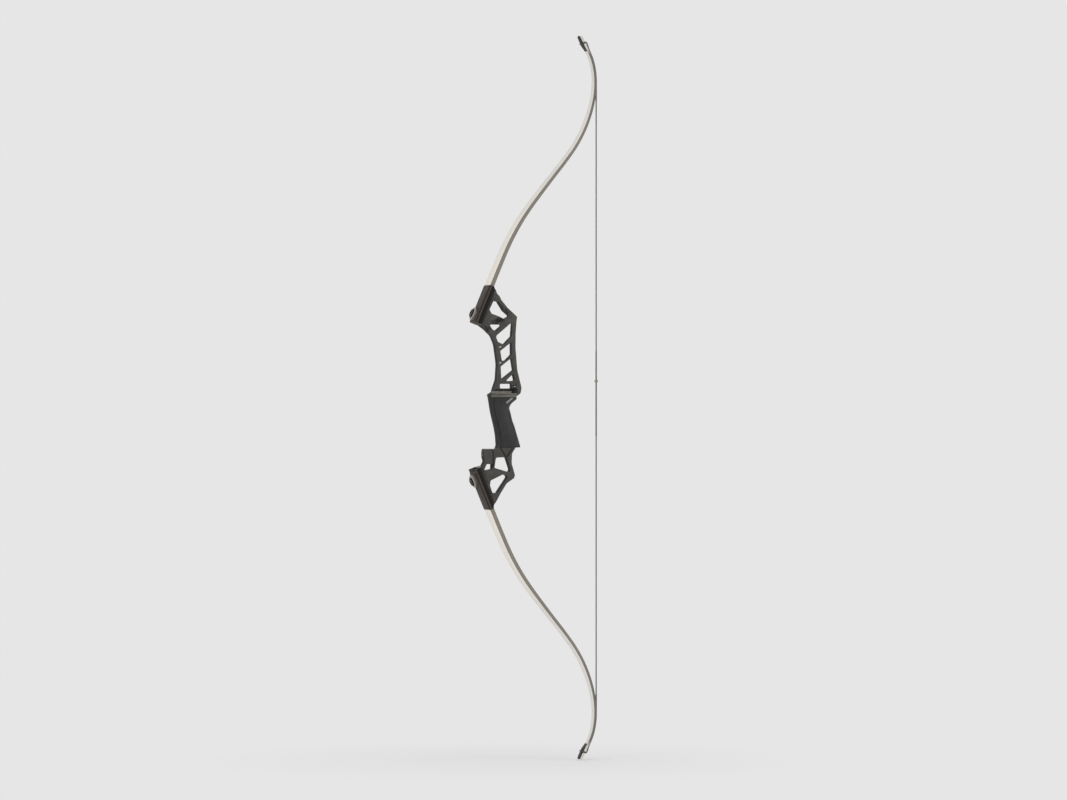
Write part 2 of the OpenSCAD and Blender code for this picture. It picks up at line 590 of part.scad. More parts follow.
lower() string_loop();  // lower_string_loop
nock_locator();
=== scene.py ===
import math
import bmesh
import bpy
from mathutils import Matrix, Vector


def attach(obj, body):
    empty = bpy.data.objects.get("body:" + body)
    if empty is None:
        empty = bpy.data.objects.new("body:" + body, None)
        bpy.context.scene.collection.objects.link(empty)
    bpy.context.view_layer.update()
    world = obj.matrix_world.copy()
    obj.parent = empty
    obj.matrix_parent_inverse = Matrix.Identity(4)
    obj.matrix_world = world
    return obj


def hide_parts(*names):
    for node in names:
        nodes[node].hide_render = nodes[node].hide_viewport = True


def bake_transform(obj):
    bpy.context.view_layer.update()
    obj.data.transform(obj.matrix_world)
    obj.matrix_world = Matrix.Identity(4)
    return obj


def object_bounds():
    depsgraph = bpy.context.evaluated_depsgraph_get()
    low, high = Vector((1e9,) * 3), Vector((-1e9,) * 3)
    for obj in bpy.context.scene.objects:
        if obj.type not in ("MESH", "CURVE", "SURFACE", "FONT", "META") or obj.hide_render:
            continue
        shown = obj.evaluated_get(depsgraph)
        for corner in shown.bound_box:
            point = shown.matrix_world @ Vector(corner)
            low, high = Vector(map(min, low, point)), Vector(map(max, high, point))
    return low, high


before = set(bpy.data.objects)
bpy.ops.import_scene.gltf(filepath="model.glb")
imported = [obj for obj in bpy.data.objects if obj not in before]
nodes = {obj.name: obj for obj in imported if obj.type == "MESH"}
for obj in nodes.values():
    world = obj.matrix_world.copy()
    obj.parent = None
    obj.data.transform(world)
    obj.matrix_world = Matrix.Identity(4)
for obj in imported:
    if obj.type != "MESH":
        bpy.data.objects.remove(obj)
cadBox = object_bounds()
mm = 0.001
print("frame loaded,", len(nodes), "pieces of the bow")


# Small helpers for node trees, colours and meshes

def linear(code):
    parts = [int(code[i:i + 2], 16) / 255 for i in (1, 3, 5)]
    return [c / 12.92 if c <= 0.04045 else ((c + 0.055) / 1.055) ** 2.4 for c in parts] + [1]


def feed(tree, node, values):
    # A node's output is linked to the input, and anything else becomes the input's own value
    for key, value in values.items():
        if isinstance(value, bpy.types.NodeSocket):
            tree.links.new(value, node.inputs[key])
        else:
            node.inputs[key].default_value = value


def addNode(tree, kind, values=None, **settings):
    node = tree.nodes.new(kind)
    for key, value in settings.items():
        setattr(node, key, value)
    feed(tree, node, values or {})
    return node


def addObject(name, data):
    obj = bpy.data.objects.new(name, data)
    bpy.context.scene.collection.objects.link(obj)
    return obj


def smoothTo(data, angle):
    data.shade_smooth()
    data.set_sharp_from_angle(angle=math.radians(angle))


def bake(obj, angle=30):
    bpy.context.view_layer.update()
    graph = bpy.context.evaluated_depsgraph_get()
    data = bpy.data.meshes.new_from_object(obj.evaluated_get(graph))
    obj.modifiers.clear()
    obj.data = data
    data.name = obj.name
    smoothTo(data, angle)
    return obj


def ringMesh(name, groups, finishes, angle=35, places=None):
    # Each group is a list of rings with the same number of points, in millimetres
    # "loop" joins its last ring to its first, and without it both ends are closed
    points, faces = [], []
    for group in groups:
        rings, count = group["rings"], len(group["rings"][0])
        base, loop = len(points), group.get("loop")
        points += [Vector(p) * mm for ring in rings for p in ring]
        for j in range(len(rings) if loop else len(rings) - 1):
            a, b = base + j * count, base + (j + 1) % len(rings) * count
            for i in range(count):
                k = (i + 1) % count
                faces.append((a + i, a + k, b + k, b + i))
        if not loop:
            faces.append(tuple(reversed(range(base, base + count))))
            faces.append(tuple(range(base + (len(rings) - 1) * count, base + len(rings) * count)))
    data = bpy.data.meshes.new(name)
    data.from_pydata(points, [], faces)
    for finish in finishes:
        data.materials.append(finish)
    if places:
        attribute = data.attributes.new("grainPlace", "FLOAT_VECTOR", "POINT")
        attribute.data.foreach_set("vector", [c * mm for p in places for c in p])
    shape = bmesh.new()
    shape.from_mesh(data)
    bmesh.ops.recalc_face_normals(shape, faces=shape.faces)
    shape.to_mesh(data)
    shape.free()
    smoothTo(data, angle)
    return addObject(name, data)


def merge(name, parts):
    shape = bmesh.new()
    finishes = []
    for part in parts:
        first = len(shape.faces)
        shape.from_mesh(part.data)
        shape.faces.ensure_lookup_table()
        for face in shape.faces[first:]:
            face.material_index += len(finishes)
        finishes += list(part.data.materials)
        bpy.data.objects.remove(part)
    data = bpy.data.meshes.new(name)
    shape.to_mesh(data)
    shape.free()
    for finish in finishes:
        data.materials.append(finish)
    return addObject(name, data)


def cleanCopy(name, node):
    # The solid's faces without the seams between its triangles
    source = nodes[node].data
    data = bpy.data.meshes.new(name)
    data.from_pydata([v.co for v in source.vertices], [], [tuple(p.vertices) for p in source.polygons])
    shape = bmesh.new()
    shape.from_mesh(data)
    bmesh.ops.remove_doubles(shape, verts=shape.verts, dist=2e-6)
    bmesh.ops.dissolve_limit(shape, angle_limit=math.radians(0.3), verts=shape.verts, edges=shape.edges)
    bmesh.ops.recalc_face_normals(shape, faces=shape.faces)
    shape.to_mesh(data)
    shape.free()
    return addObject(name, data)


def softEdges(obj, width, finishes, segments=2, angle=32):
    for finish in finishes:
        obj.data.materials.append(finish)
    bevel = obj.modifiers.new("edges", "BEVEL")
    bevel.width = width * mm
    bevel.segments = segments
    bevel.limit_method = "ANGLE"
    bevel.angle_limit = math.radians(angle)
    bevel.material = len(finishes) - 1
    return bake(obj, 40)


def standFor(piece, body, slotName, *cadNodes):
    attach(piece, body)
    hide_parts(*cadNodes)


# Material building blocks

def newMaterial(name):
    material = bpy.data.materials.new(name)
    material.use_nodes = True
    return material, material.node_tree, material.node_tree.nodes["Principled BSDF"]


def texturePoint(tree, stretch=(1, 1, 1), place=None):
    if place:
        source = addNode(tree, "ShaderNodeAttribute", attribute_name=place).outputs["Vector"]
    else:
        source = addNode(tree, "ShaderNodeTexCoord").outputs["Object"]
    return addNode(tree, "ShaderNodeMapping", {"Vector": source, "Scale": stretch}).outputs["Vector"]


def noise(tree, point, scale, detail=3.0, roughness=0.55):
    return addNode(tree, "ShaderNodeTexNoise", {
        "Vector": point, "Scale": scale, "Detail": detail, "Roughness": roughness}).outputs[0]


def ramp(tree, value, stops):
    node = addNode(tree, "ShaderNodeValToRGB", {"Fac": value})
    elements = node.color_ramp.elements
    while len(elements) < len(stops):
        elements.new(0.5)
    for element, (position, colour) in zip(elements, stops):
        element.position = position
        element.color = linear(colour)
    return node.outputs["Color"]


def span(tree, value, low, high, fromLow=0.3, fromHigh=0.7):
    return addNode(tree, "ShaderNodeMapRange", {
        "Value": value, "From Min": fromLow, "From Max": fromHigh, "To Min": low, "To Max": high}).outputs[0]


def math2(tree, kind, a, b):
    return addNode(tree, "ShaderNodeMath", {0: a, 1: b}, operation=kind).outputs[0]


def vectorMath(tree, kind, a, b=(0, 0, 0), output="Vector"):
    return addNode(tree, "ShaderNodeVectorMath", {0: a, 1: b}, operation=kind).outputs[output]


def scaled(tree, vector, amount):
    return addNode(tree, "ShaderNodeVectorMath", {0: vector, "Scale": amount}, operation="SCALE").outputs[0]


def partOf(tree, vector, axis):
    return addNode(tree, "ShaderNodeSeparateXYZ", {0: vector}).outputs[axis]


def mixColour(tree, amount, a, b, kind="MIX"):
    # The mix node's inputs 6 and 7 and its output 2 are those for colours
    values = {0: amount, 6: a, 7: b}
    return addNode(tree, "ShaderNodeMix", values, data_type="RGBA", blend_type=kind).outputs[2]


def bump(tree, height, depth, below=None):
    values = {"Height": height, "Distance": depth * mm, "Strength": 1.0}
    if below:
        values["Normal"] = below
    return addNode(tree, "ShaderNodeBump", values).outputs["Normal"]


def paint(name, look, place=None):
    # Patches of two shades, a roughness that varies, and a fine relief
    material, tree, shader = newMaterial(name)
    point = texturePoint(tree, look.get("stretch", (1, 1, 1)), place)
    patches = noise(tree, point, look["patch"], 4)
    fine = noise(tree, point, look["grain"], 2)
    colour = ramp(tree, patches, [(0.32, look["dark"]), (0.68, look["light"])])
    if "fleck" in look:
        fleck = span(tree, fine, 0, look.get("fleckAmount", 0.5), 0.56, 0.72)
        colour = mixColour(tree, fleck, colour, linear(look["fleck"]))
    feed(tree, shader, {"Base Color": colour, "Roughness": span(tree, patches, *look["rough"]),
                        "Normal": bump(tree, fine, look["depth"])})
    sockets = {"metallic": "Metallic", "specular": "Specular IOR Level", "sheen": "Sheen Weight"}
    feed(tree, shader, {sockets[key]: look[key] for key in sockets if key in look})
    return material


def painted(name, look, place=None):
    # A paint whose colour is worked on further: its material, tree, shader and colour so far
    material = paint(name, look, place)
    shader = material.node_tree.nodes["Principled BSDF"]
    return material, material.node_tree, shader, shader.inputs["Base Color"].links[0].from_socket


# Camera: a long lens from sixteen degrees round the bow's front

cameraSizes = {"distance": 12.0, "widthSeen": 2.24, "azimuth": -16.0, "right": 0.0519, "height": 0.0147,
               "sensor": 36.0, "clip": (0.1, 60)}


def makeCamera():
    turn = math.radians(cameraSizes["azimuth"])
    back = Vector((math.sin(turn), -math.cos(turn), 0))
    right = Vector((math.cos(turn), math.sin(turn), 0))
    data = bpy.data.cameras.new("camera")
    data.sensor_width = cameraSizes["sensor"]
    data.lens = cameraSizes["sensor"] * cameraSizes["distance"] / cameraSizes["widthSeen"]
    data.clip_start, data.clip_end = cameraSizes["clip"]
    camera = addObject("camera", data)
    target = right * cameraSizes["right"] + Vector((0, 0, cameraSizes["height"]))
    camera.location = target + back * cameraSizes["distance"]
    camera.rotation_mode = "QUATERNION"
    camera.rotation_quaternion = (-back).to_track_quat("-Z", "Y")
    bpy.context.scene.camera = camera
    bpy.context.scene.view_settings.view_transform = "Standard"


# Studio: pale paper all round, soft lamps in front and above

studio = {
    "paper": "#e6e6e6", "ambient": 0.6, "floorShade": 1.17, "floorRadius": 2.2, "floorDrop": 0.0015,
    "fadeFrom": 0.12, "fadeTo": 0.7,
    "lamps": {
        "keyLamp": {"at": (-3.7, -3.4, 0.1), "size": 2.4, "power": 82},
        "fillLamp": {"at": (3.4, -3.6, 0.6), "size": 2.6, "power": 38},
        "topLamp": {"at": (-0.4, -0.6, 4.2), "size": 2.4, "power": 20},
        "backLamp": {"at": (1.8, 4.0, 2.6), "size": 3.0, "power": 26}}}


def seenDirectly(tree):
    path = addNode(tree, "ShaderNodeLightPath")
    direct = math2(tree, "MAXIMUM", path.outputs["Is Camera Ray"], path.outputs["Is Glossy Ray"])
    return math2(tree, "MAXIMUM", direct, path.outputs["Is Transmission Ray"])


def makeStudio():
    world = bpy.data.worlds.new("studioAir")
    bpy.context.scene.world = world
    world.use_nodes = True
    tree = world.node_tree
    tree.nodes.clear()
    paper = linear(studio["paper"])
    air = addNode(tree, "ShaderNodeBackground", {"Color": (1, 1, 1, 1), "Strength": studio["ambient"]})
    sheet = addNode(tree, "ShaderNodeBackground", {"Color": paper, "Strength": 1.0})
    seen = seenDirectly(tree)
    both = addNode(tree, "ShaderNodeMixShader", {0: seen, 1: air.outputs[0], 2: sheet.outputs[0]})
    addNode(tree, "ShaderNodeOutputWorld", {"Surface": both.outputs[0]})

    shape = bmesh.new()
    bmesh.ops.create_circle(shape, cap_ends=True, segments=96, radius=studio["floorRadius"])
    data = bpy.data.meshes.new("floor")
    shape.to_mesh(data)
    shape.free()
    floor = addObject("floor", data)
    floor.location.z = cadBox[0].z - studio["floorDrop"]
    material, tree, shader = newMaterial("floorPaper")
    point = texturePoint(tree)
    feed(tree, shader, {"Base Color": [c * studio["floorShade"] for c in paper[:3]] + [1], "Roughness": 0.95,
                        "Specular IOR Level": 0.1, "Normal": bump(tree, noise(tree, point, 60, 3), 0.05)})
    reach = vectorMath(tree, "LENGTH", point, output="Value")
    fade = span(tree, reach, 0, 1, studio["fadeFrom"], studio["fadeTo"])
    glow = addNode(tree, "ShaderNodeEmission", {"Color": paper, "Strength": 1.0})
    amount = math2(tree, "MULTIPLY", fade, seenDirectly(tree))
    both = addNode(tree, "ShaderNodeMixShader", {0: amount, 1: shader.outputs[0], 2: glow.outputs[0]})
    feed(tree, tree.nodes["Material Output"], {"Surface": both.outputs[0]})
    data.materials.append(material)

    for name, lamp in studio["lamps"].items():
        light = bpy.data.lights.new(name, "AREA")
        light.shape = "DISK"
        light.size = lamp["size"]
        light.energy = lamp["power"]
        obj = addObject(name, light)
        obj.location = lamp["at"]
        obj.rotation_mode = "QUATERNION"
        obj.rotation_quaternion = (-Vector(lamp["at"])).to_track_quat("-Z", "Y")


makeCamera()
makeStudio()
print("camera, paper and lamps ready")


# The limb's line in side view, the same rule as the solids follow

limb = {
    "mirrorHeight": 20.0, "lean": 22.5, "mouthReach": 46.5, "mouthHeight": 235.5, "step": 1.5,
    "bends": [(0, 22.5), (75, 24), (195, 37.5), (290, 39.5), (335, 36.5), (385, 26.5), (455, 12), (495, 0),
              (525, -11), (560, -28), (598, -24)],
    "halfWidths": [(0, 22), (60, 21.5), (170, 20), (340, 16.75), (500, 10), (555, 9.5), (574, 8.5), (598, 7)],
    "rootThick": 9.0, "tipThick": 5.0, "glass": 1.0, "contact": 495.0, "throat": 556.0, "nock": 580.0,
    "tip": 598.0, "overlayFrom": 561.5, "overlayRun": 562.5, "overlayThick": 2.6, "overlayRise": 13,
    "grooveRadius": 1.8, "grooveOut": 0.9, "nockRadius": 2.2, "nockOut": 0.7, "tipRound": 6.5,
    "loopRadius": 1.4, "outerRound": 0.7, "innerRound": 0.12, "bendFrom": -60.0, "bendTo": 400.0,
    "levelFrom": 588.0, "levelPull": 0.46}


def lookUp(table, s):
    if s <= table[0][0]:
        return table[0][1]
    for (a, low), (b, high) in zip(table, table[1:]):
        if s <= b:
            return low + (high - low) * (s - a) / (b - a)
    return table[-1][1]


def followLine():
    line, x, h = [], -limb["mouthReach"], limb["mouthHeight"]
    count = round(limb["tip"] / limb["step"])
    for k in range(count + 1):
        line.append((x, h))
        heading = math.radians(lookUp(limb["bends"], (k + 0.5) * limb["step"]))
        x += limb["step"] * math.sin(heading)
        h += limb["step"] * math.cos(heading)
    return line


limbLine = followLine()


def limbPoint(s, depth):
    # X and height above the mirror plane of a point at a distance along the limb and a depth behind its front
    k = min(int(s / limb["step"]), len(limbLine) - 2)
    t = s / limb["step"] - k
    (xa, ha), (xb, hb) = limbLine[k], limbLine[k + 1]
    heading = math.radians(lookUp(limb["bends"], s))
    return xa + (xb - xa) * t + depth * math.cos(heading), ha + (hb - ha) * t - depth * math.sin(heading)


def sided(side, x, y, h):
    return (x, y, limb["mirrorHeight"] + (h if side == "upper" else -h))


def limbThick(s):
    return limb["rootThick"] + (limb["tipThick"] - limb["rootThick"]) * min(1, s / limb["contact"])


def halfWidth(s):
    # The nocks are cut into each side and the tip's end is rounded
    off = s - limb["nock"]
    cut = max(0, math.sqrt(max(0, limb["nockRadius"] ** 2 - off ** 2)) - limb["nockOut"])
    width = lookUp(limb["halfWidths"], s) - cut
    over = max(0, s - (limb["tip"] - limb["tipRound"])) / limb["tipRound"]
    return max(width * math.sqrt(max(0, 1 - over ** 2.4)), 0.6)


# Finishes

def tone(dark, light, patch, grain, depth, rough, **more):
    # Patches of two shades, a fine grain and its depth in millimetres, and the least and most roughness
    sizes = {"patch": patch, "grain": grain, "depth": depth, "rough": rough}
    return {"dark": dark, "light": light, **sizes, **more}


looks = {
    "riserMetal": tone("#3b3835", "#474441", 60, 2600, 0.012, (0.4, 0.52), fleck="#625d58", fleckAmount=0.3,
                       metallic=0.3, specular=0.45),
    # paler bevelled edges: wear, and a painted highlight
    "riserEdgeWearAndHighlight": tone("#4f4a46", "#6d6761", 240, 2600, 0.006, (0.28, 0.42), metallic=0.5),
    # painted shade on the pocket cheek's outer side
    "cheekSidePaintedShade": tone("#2b2724", "#35312d", 80, 2200, 0.012, (0.5, 0.64), metallic=0.1, specular=0.2),
    # painted shade on the flare's sloping faces
    "flareSlopeShade": tone("#403c38", "#4c4843", 70, 2400, 0.012, (0.42, 0.55), metallic=0.2, specular=0.4),
    # the black paint of the bar in front of the grip, also used as painted shade on faces looking forward
    "barBlackAndPaintedShade": tone("#121111", "#1b1a1a", 70, 2400, 0.008, (0.6, 0.74), metallic=0.05, specular=0.22),
    "shelfEdge": tone("#57564f", "#66665f", 160, 2400, 0.008, (0.34, 0.46), metallic=0.3),
    "coverLaminate": tone("#3f3a36", "#4b4641", 40, 500, 0.001, (0.6, 0.7), specular=0.1,
                          stretch=(1, 3, 1)),
    "bushingPaint": tone("#46413d", "#565049", 160, 2400, 0.006, (0.34, 0.48), metallic=0.4),
    "washerPaint": tone("#6c645d", "#80776f", 150, 3000, 0.004, (0.36, 0.5), metallic=0.35),
    # painted highlight on the washer's rim
    "washerRimHighlight": tone("#a59e96", "#c2bbb2", 150, 3000, 0.003, (0.42, 0.54), metallic=0.35),
    "overlayLaminate": tone("#15110f", "#1e1a17", 120, 1400, 0.006, (0.46, 0.6), specular=0.35),
    "brightSteel": tone("#a9a9ab", "#c6c6c8", 150, 3200, 0.004, (0.16, 0.3), metallic=1.0),
    "blackSteel": tone("#141415", "#222223", 160, 2400, 0.006, (0.3, 0.46), metallic=0.5),
    # painted highlight on the bolt head's rim
    "boltRimHighlight": tone("#2c2c2d", "#4a4a4b", 400, 2400, 0.004, (0.24, 0.4), metallic=0.8),
    "agedBrass": tone("#736a55", "#8d8470", 140, 3000, 0.004, (0.32, 0.46), metallic=0.8),
    "restPlastic": tone("#0e0e0f", "#161617", 120, 1600, 0.02, (0.5, 0.62), specular=0.35),
    "shelfFelt": tone("#57524c", "#77716a", 180, 2600, 0.12, (0.86, 0.98), fleck="#8d877f", sheen=0.35),
    "stringFibre": tone("#5f5f5e", "#7c7c7a", 700, 5200, 0.03, (0.48, 0.66), sheen=0.2),
    "servingThread": tone("#646463", "#7b7b79", 500, 5200, 0.02, (0.42, 0.58)),
    "loopThread": tone("#46433f", "#5a5752", 500, 5200, 0.02, (0.42, 0.58)),
    "threadShadow": tone("#303030", "#3c3c3c", 500, 4000, 0.01, (0.7, 0.85))}
finishes = {name: paint(name, look)
            for name, look in looks.items() if name not in ("riserMetal", "cheekSidePaintedShade")}


def nearLine(tree, place, start, end, half):
    # 1 on a line between two (x, z) points in millimetres seen along Y, fading to 0 at about its half width
    a, b = Vector((start[0], 0, start[1])) * mm, Vector((end[0], 0, end[1])) * mm
    along = (b - a).normalized()
    offset = vectorMath(tree, "SUBTRACT", vectorMath(tree, "MULTIPLY", place, (1, 0, 1)), tuple(a))
    share = vectorMath(tree, "DOT_PRODUCT", offset, tuple(along), "Value")
    kept = addNode(tree, "ShaderNodeClamp", {"Value": share, "Min": 0.0, "Max": (b - a).length}).outputs[0]
    away = vectorMath(tree, "DISTANCE", offset, scaled(tree, tuple(along), kept), "Value")
    return span(tree, away, 1, 0, half * 0.45 * mm, half * 1.3 * mm)


def darkest(tree, place, lines, amount=0.0):
    # The darkest of some lines at each place, each given as its ends, half width and how dark it is
    for start, end, half, dark in lines.values():
        line = math2(tree, "MULTIPLY", nearLine(tree, place, start, end, half), dark)
        amount = math2(tree, "MAXIMUM", amount, line)
    return amount


# The pale colour along a line over the throat's shoulder, on the near side only, is a painted highlight
gripLook = tone("#111011", "#1e1d1e", 55, 1500, 0.05, (0.42, 0.56), stretch=(1.3, 1.3, 0.4), specular=0.42,
                streak="#333233", ridge="#8c8c8a", ridgeFrom=(4.5, 18.6), ridgeTo=(-7.2, 9.3), ridgeHalf=2.1,
                sideFrom=-0.006, sideTo=-0.003, streakScale=(9, 9, 0.9))


def gripFinish(name):
    # Moulded plastic with a fine grain, and a painted highlight: a pale band over the shoulder of the throat,
    # on the near side only
    material, tree, shader, base = painted(name, gripLook)
    place = texturePoint(tree)
    # Where the painted highlight lies
    highlightMask = nearLine(tree, place, gripLook["ridgeFrom"], gripLook["ridgeTo"], gripLook["ridgeHalf"])
    onSide = span(tree, partOf(tree, place, "Y"), 1, 0, gripLook["sideFrom"], gripLook["sideTo"])
    streaks = noise(tree, texturePoint(tree, gripLook["streakScale"]), 60, 3, 0.7)
    base = mixColour(tree, span(tree, streaks, 0, 0.55, 0.5, 0.72), base, linear(gripLook["streak"]))
    amount = math2(tree, "MULTIPLY", highlightMask, onSide)
    feed(tree, shader, {"Base Color": mixColour(tree, amount, base, linear(gripLook["ridge"]))})
    return material


shadedGrooveLines = {  # painted shade along lines on the sides, each also sinking as a shallow groove: two (x, z) ends, a half width, and how dark each is
    "vLeft": ((-21.2, -86.0), (-10.4, -103.6), 2.6, 0.9), "vRight": ((4.6, -87.5), (-6.6, -104.3), 2.4, 0.9),
    "column": ((-7.4, -104.5), (-0.2, -132.0), 1.2, 0.6),
    "boss": ((-37.2, -90.0), (-36.2, -124.0), 2.8, 0.85),
    "aboveShelf": ((-27.0, 35.2), (6.0, 35.2), 2.2, 0.8),
    "backStrut": ((-9.0, 203.5), (-2.0, 194.0), 2.6, 0.75),
    "frontStrut": ((-54.5, 168.0), (-44.5, 157.5), 2.3, 0.65),
    "windowStep": ((-41.0, 178.5), (-15.0, 186.0), 2.4, 0.55)}
riserShade = {  # painted shade without a groove, on the window's top strut and the bar in front of the grip
    "strut": ((-27.0, 182.0), (-12.0, 182.5), 4.8, 0.88), "barTop": ((-42.0, 19.0), (-34.6, -18.0), 6.0, 0.6),
    "barMiddle": ((-34.6, -18.0), (-26.4, -61.0), 6.0, 0.6),
    "barFoot": ((-26.4, -61.0), (-27.0, -80.0), 6.0, 0.55)}
# The colour of the riser's painted shade, and the grooves' depth in millimetres
grooveShadeLook = {"shade": "#0d0b0a", "depth": 0.8}


def riserFinish(name):
    # Satin powder coat with shallow machined grooves, darkened with painted shade where they sink, and
    # painted shade in some places without a groove
    material, tree, shader, base = painted(name, looks[name])
    place = texturePoint(tree)
    grooveShade = darkest(tree, place, shadedGrooveLines)
    shade = darkest(tree, place, riserShade, grooveShade)
    relief = shader.inputs["Normal"].links[0].from_socket
    height = math2(tree, "SUBTRACT", 1.0, grooveShade)
    feed(tree, shader, {"Base Color": mixColour(tree, shade, base, linear(grooveShadeLook["shade"])),
                        "Normal": bump(tree, height, grooveShadeLook["depth"], relief)})
    return material


grainDepth = 7.0  # the limb's layers hold their place in the grain as if each were this thick, in millimetres


def alongLimb(tree):
    return partOf(tree, texturePoint(tree, (1, 1, 1), "grainPlace"), "X")


# The pocket cheek's painted shade: the rim's colour and depth, then near black from one depth behind the
# pocket's front to another, in millimetres
cheekShadeLook = {"rim": "#463e38", "rimDepth": 3.8, "fade": 1.6, "dark": "#080504", "darkFrom": 6.0,
             "darkTo": 19.0}


def cheekShadeFinish(name):
    # The pocket's outer side: a paler rim along the limb, then painted shade, near black and easing off
    # towards the back
    material, tree, shader, base = painted(name, looks[name])
    parts = addNode(tree, "ShaderNodeSeparateXYZ", {0: texturePoint(tree)}).outputs
    lean = math.radians(limb["lean"])
    rise = math2(tree, "ABSOLUTE", math2(tree, "SUBTRACT", parts["Z"], limb["mirrorHeight"] * mm), 0)
    across = math2(tree, "SUBTRACT", math2(tree, "MULTIPLY", parts["X"], math.cos(lean)),
                   math2(tree, "MULTIPLY", rise, math.sin(lean)))
    offset = (limb["mouthReach"] * math.cos(lean) + limb["mouthHeight"] * math.sin(lean)) * mm
    depth = math2(tree, "ADD", across, offset)
    shade = span(tree, depth, 1, 0, cheekShadeLook["darkFrom"] * mm, cheekShadeLook["darkTo"] * mm)
    base = mixColour(tree, shade, base, linear(cheekShadeLook["dark"]))
    start = cheekShadeLook["rimDepth"] * mm
    amount = span(tree, depth, 1, 0, start, start + cheekShadeLook["fade"] * mm)
    feed(tree, shader, {"Base Color": mixColour(tree, amount, base, linear(cheekShadeLook["rim"]))})
    return material


glassLook = {"dark": "#ddd9d3", "light": "#e8e4de", "nearPocket": "#f2ebdf", "nearFrom": 0.05, "nearTo": 0.3,
             "threads": (10, 620, 200), "patches": (9, 40, 20)}


def glassFinish(name):
    # Fibreglass under a smooth coat: long threads along the limb, paler towards the pocket
    material, tree, shader = newMaterial(name)
    threads = noise(tree, texturePoint(tree, glassLook["threads"], "grainPlace"), 1, 3)
    patches = noise(tree, texturePoint(tree, glassLook["patches"], "grainPlace"), 1, 3)
    base = ramp(tree, patches, [(0.3, glassLook["dark"]), (0.7, glassLook["light"])])
    near = span(tree, alongLimb(tree), 0.8, 0, glassLook["nearFrom"], glassLook["nearTo"])
    base = mixColour(tree, near, base, linear(glassLook["nearPocket"]))
    colour = mixColour(tree, span(tree, threads, 0, 0.18), base, linear(glassLook["dark"]), "MULTIPLY")
    feed(tree, shader, {"Base Color": colour, "Roughness": span(tree, threads, 0.4, 0.5),
                        "Normal": bump(tree, threads, 0.0015), "Coat Weight": 0.12, "Coat Roughness": 0.3,
                        "Specular IOR Level": 0.3})
    return material


coreLook = {
    "layers": [(0.0, "#6f6961"), (0.2, "#8a837a"), (0.235, "#5d564e"), (0.27, "#8f887e"), (0.5, "#857e74"),
               (0.535, "#5a534b"), (0.57, "#8d867c"), (0.78, "#878076"), (0.81, "#5d564e"),
               (0.845, "#8a837a"), (1.0, "#6d675f")],
    "grain": "#b5ab9e", "grainScale": (20, 900, 1500),
    "towardsTip": [("#595854", 0.6, 0.36, 0.46), ("#dad6cc", 0.85, 0.553, 0.568)]}  # share, from, to (m)


def towardsTip(tree, colour):
    # The sides darken in the recurve and turn pale beyond the throat
    along = alongLimb(tree)
    for shade, share, start, end in coreLook["towardsTip"]:
        colour = mixColour(tree, span(tree, along, 0, share, start, end), colour, linear(shade))
    return colour


def coreFinish(name):
    # The limb's edge: thin laminations of grey-brown wood with darker glue lines, sanded smooth
    material, tree, shader = newMaterial(name)
    depth = partOf(tree, texturePoint(tree, (1, 1, 1), "grainPlace"), "Z")
    share = math2(tree, "DIVIDE", depth, grainDepth * mm)
    layers = ramp(tree, share, coreLook["layers"])
    grain = noise(tree, texturePoint(tree, coreLook["grainScale"], "grainPlace"), 1, 4)
    colour = mixColour(tree, span(tree, grain, 0, 0.45), layers, linear(coreLook["grain"]), "MULTIPLY")
    feed(tree, shader, {"Base Color": towardsTip(tree, colour), "Roughness": span(tree, grain, 0.42, 0.6),
                        "Normal": bump(tree, grain, 0.012), "Coat Weight": 0.15, "Coat Roughness": 0.3})
    return material


edgeLook = tone("#7b776e", "#8f8b82", 30, 300, 0.001, (0.5, 0.62), specular=0.3, stretch=(0.2, 1, 1))


def edgeFinish(name):
    # The sanded sides of the two glass layers
    material, tree, shader, base = painted(name, edgeLook, "grainPlace")
    feed(tree, shader, {"Base Color": towardsTip(tree, base)})
    return material


specialFinishes = {"limbGlass": glassFinish, "limbCore": coreFinish, "gripPlastic": gripFinish,
                   "riserMetal": riserFinish, "cheekSidePaintedShade": cheekShadeFinish, "glassEdge": edgeFinish}
for name, makeFinish in specialFinishes.items():
    finishes[name] = makeFinish(name)
print("finishes ready,", len(finishes))


# The limb's layers, laid up from rings of points along it

def section(half, front, back, frontRound, backRound):
    # Points round a layer's section as (y, depth), with rounded corners
    points = []
    for side, face, radius, start in ((-1, front, frontRound, 180), (1, front, frontRound, 270),
                                      (1, back, backRound, 0), (-1, back, backRound, 90)):
        radius = min(radius, half * 0.45, (back - front) * 0.45)
        inward = 1 if face == front else -1
        for k in range(4):
            turn = math.radians(start + 30 * k)
            points.append((side * (half - radius) + radius * math.cos(turn),
                           face + inward * radius + radius * math.sin(turn)))
    return points


def stationList(fromS, toS):
    # Distances along the limb with closer steps where it bends more and at the nock
    steps = ((480, 6.0), (552, 2.4), (575, 1.5), (585.5, 0.35), (599, 0.7))
    s, out = fromS, [fromS]
    while s < toS - 1e-6:
        s = min(s + next(step for end, step in steps if s < end - 1e-6), toS)
        out.append(s)
    return out


def limbLayer(side, name, fromS, front, back, rounds, finish):
    rings, places = [], []
    for s in stationList(fromS, limb["tip"]):
        f, b = front(s), back(s)
        beyond = max(0, (s - limb["levelFrom"]) / (limb["tip"] - limb["levelFrom"]))
        pull = limb["levelPull"] * beyond ** 2  # the tip's end is cut level behind its front
        ring = []
        for y, depth in section(halfWidth(s), f, b, *rounds):
            x, h = limbPoint(s - pull * max(0, depth), depth)
            ring.append(sided(side, x, y, h))
            places.append((s, y, grainDepth * (depth - f) / (b - f)))
        rings.append(ring)
    return ringMesh(side + name, [{"rings": rings}], [finish], 32, places)


